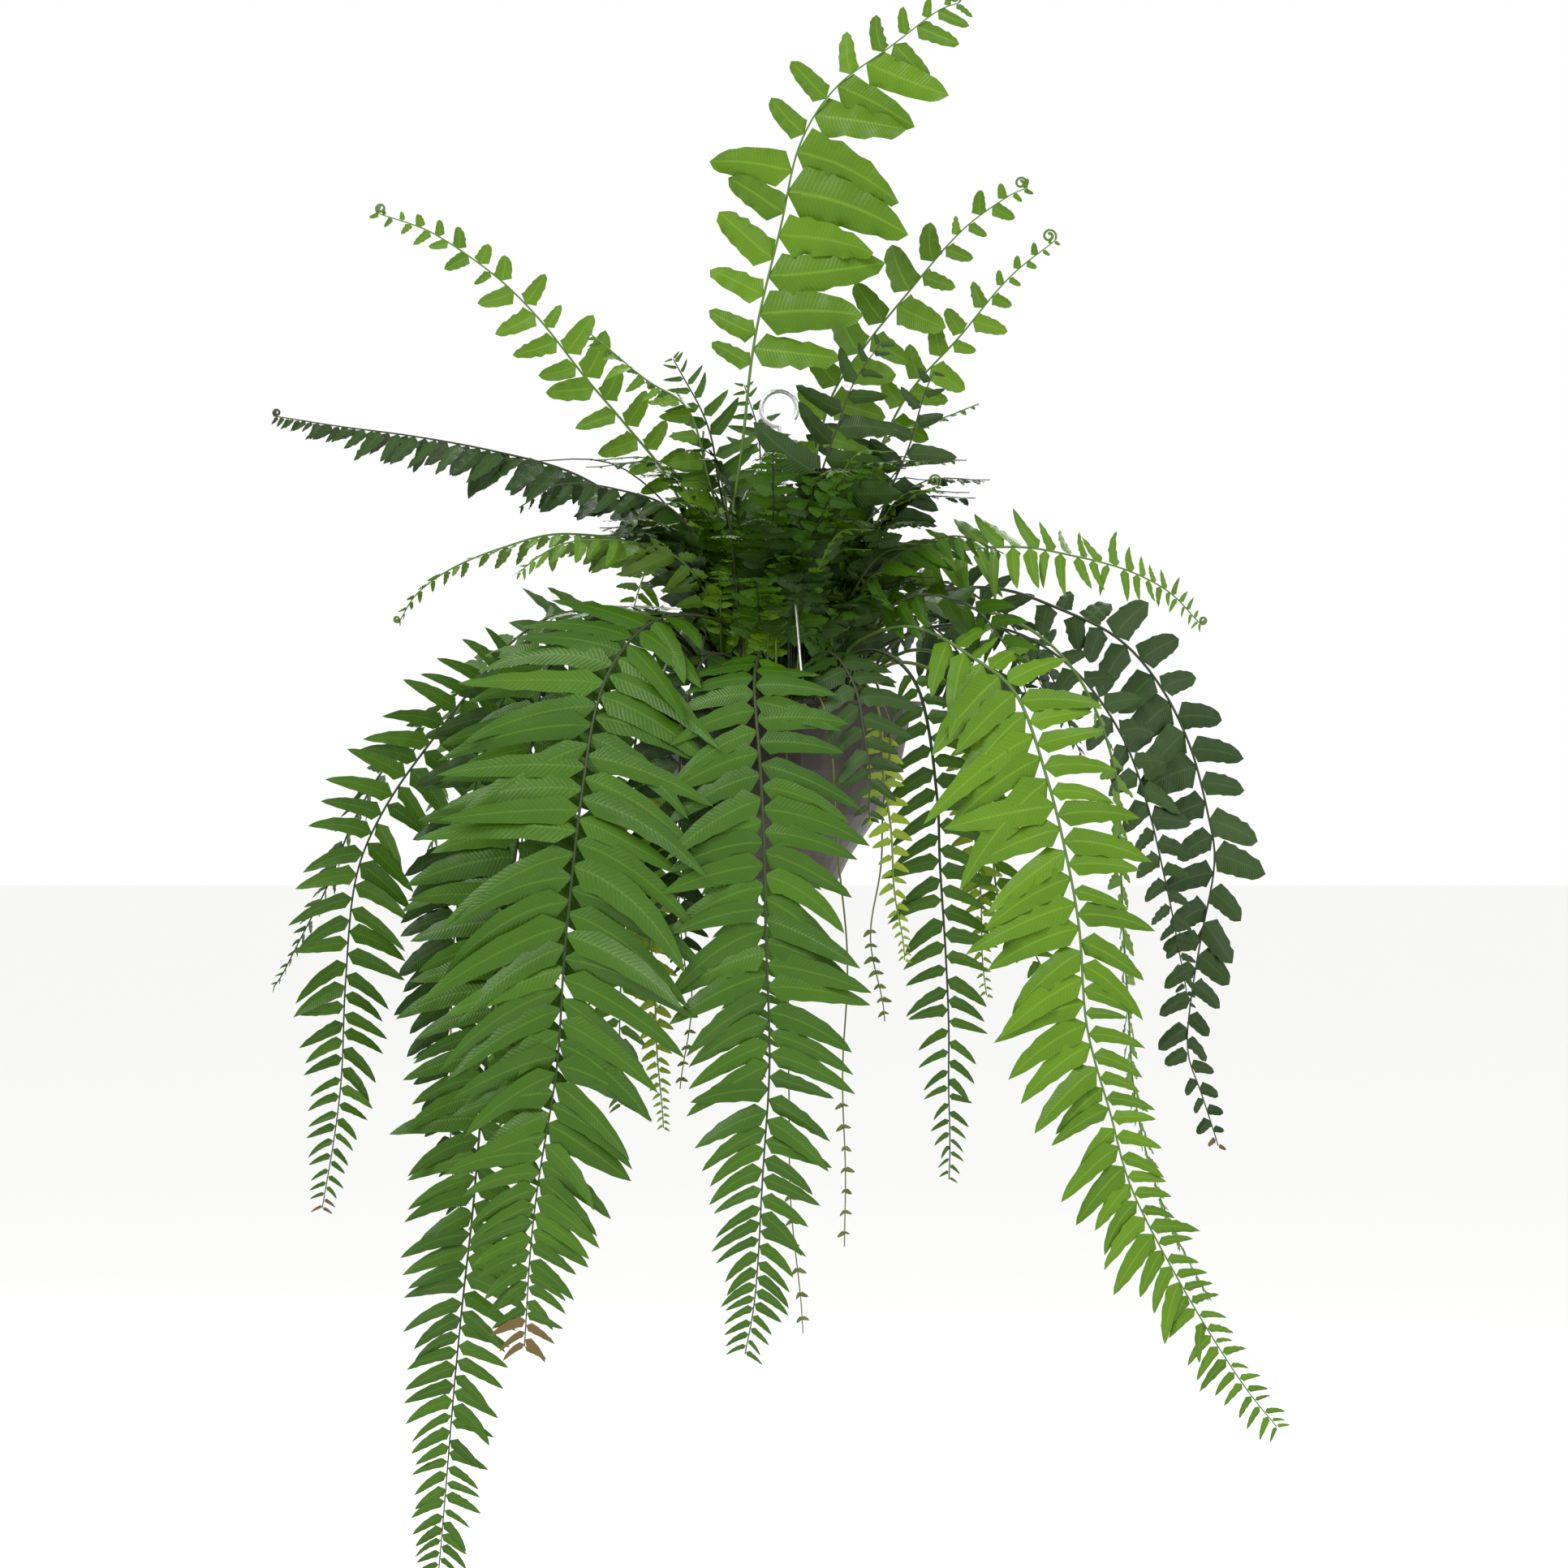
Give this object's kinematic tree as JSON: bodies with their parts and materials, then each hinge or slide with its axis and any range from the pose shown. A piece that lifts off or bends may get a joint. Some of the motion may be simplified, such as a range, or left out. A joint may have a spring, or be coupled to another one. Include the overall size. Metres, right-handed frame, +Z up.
{
  "type": "hanging potted sword fern",
  "caption": "Sword fern in a bowl-shaped hanging pot on a wire hanger, its fronds arching over the rim and trailing below.",
  "frame": {"origin": "where the inside of the hook's crook bears on whatever the pot hangs from", "axes": "+Z up along the hanger, -Y towards the fern's fuller front, +X to its right as seen from the front"},
  "size_m": [0.7676, 0.41, 1.2117],
  "materials": {
    "pot_plastic": "satin dark brown",
    "potting_mix": "rough crumbly",
    "crown_scales": "rough scaly",
    "galvanised_wire": "dull zinc",
    "leaf_mature": "waxy green leaf",
    "leaf_dark": "waxy dark green leaf",
    "leaf_young": "waxy bright green leaf",
    "leaf_yellow": "yellow-green leaf",
    "runner_stem": "dull stem"
  },
  "bodies": {
    "root": {"pot": "pot_plastic", "potting_mix": "potting_mix", "rhizome_crown": "crown_scales", "hanger_wire_front": "galvanised_wire", "hanger_wire_right": "galvanised_wire", "hanger_wire_left": "galvanised_wire", "hanger_cap": "galvanised_wire", "hanger_hook": "galvanised_wire", "frond_front_left_broad": "leaf_mature", "frond_front_left_long": "leaf_mature", "frond_front_centre": "leaf_mature", "frond_left_hanging": "leaf_mature", "frond_left_edge": "leaf_mature", "frond_left_behind": "leaf_dark", "frond_yellow_left": "leaf_yellow", "frond_right_front": "leaf_young", "frond_right_edge": "leaf_young", "frond_right_arch": "leaf_young", "frond_far_right": "leaf_dark", "frond_right_middle": "leaf_dark", "frond_front_right_short": "leaf_mature", "frond_yellow_centre": "leaf_yellow", "frond_yellow_right": "leaf_yellow", "frond_right_low": "leaf_young", "frond_tall_centre": "leaf_young", "frond_tall_right": "leaf_young", "frond_tall_far_right": "leaf_young", "frond_tall_left": "leaf_young", "frond_left_level": "leaf_dark", "frond_left_upper": "leaf_young", "frond_upright_front": "leaf_dark", "frond_upright_right": "leaf_dark", "frond_upright_back": "leaf_dark", "frond_upright_left": "leaf_mature", "frond_upper_left": "leaf_young", "frond_left_dark": "leaf_dark", "frond_left_bright": "leaf_young", "frond_right_sprig": "leaf_young", "frond_right_curl": "leaf_young", "frond_right_back": "leaf_dark", "frond_right_inner": "leaf_mature", "frond_right_top": "leaf_mature", "frond_front_fill": "leaf_dark", "frond_front_right_fill": "leaf_dark", "frond_back_middle": "leaf_mature", "frond_back_left": "leaf_mature", "frond_back_far_left": "leaf_mature", "frond_back_right": "leaf_mature", "frond_back_far_right": "leaf_dark", "frond_back_side_right": "leaf_dark", "frond_back_side_left": "leaf_mature", "frond_back_upright": "leaf_mature", "frond_back_high": "leaf_young", "frond_back_high_left": "leaf_young", "runner_front": "runner_stem", "runner_right": "runner_stem", "runner_left": "runner_stem", "runner_centre": "runner_stem"}
  },
  "joints": []
}
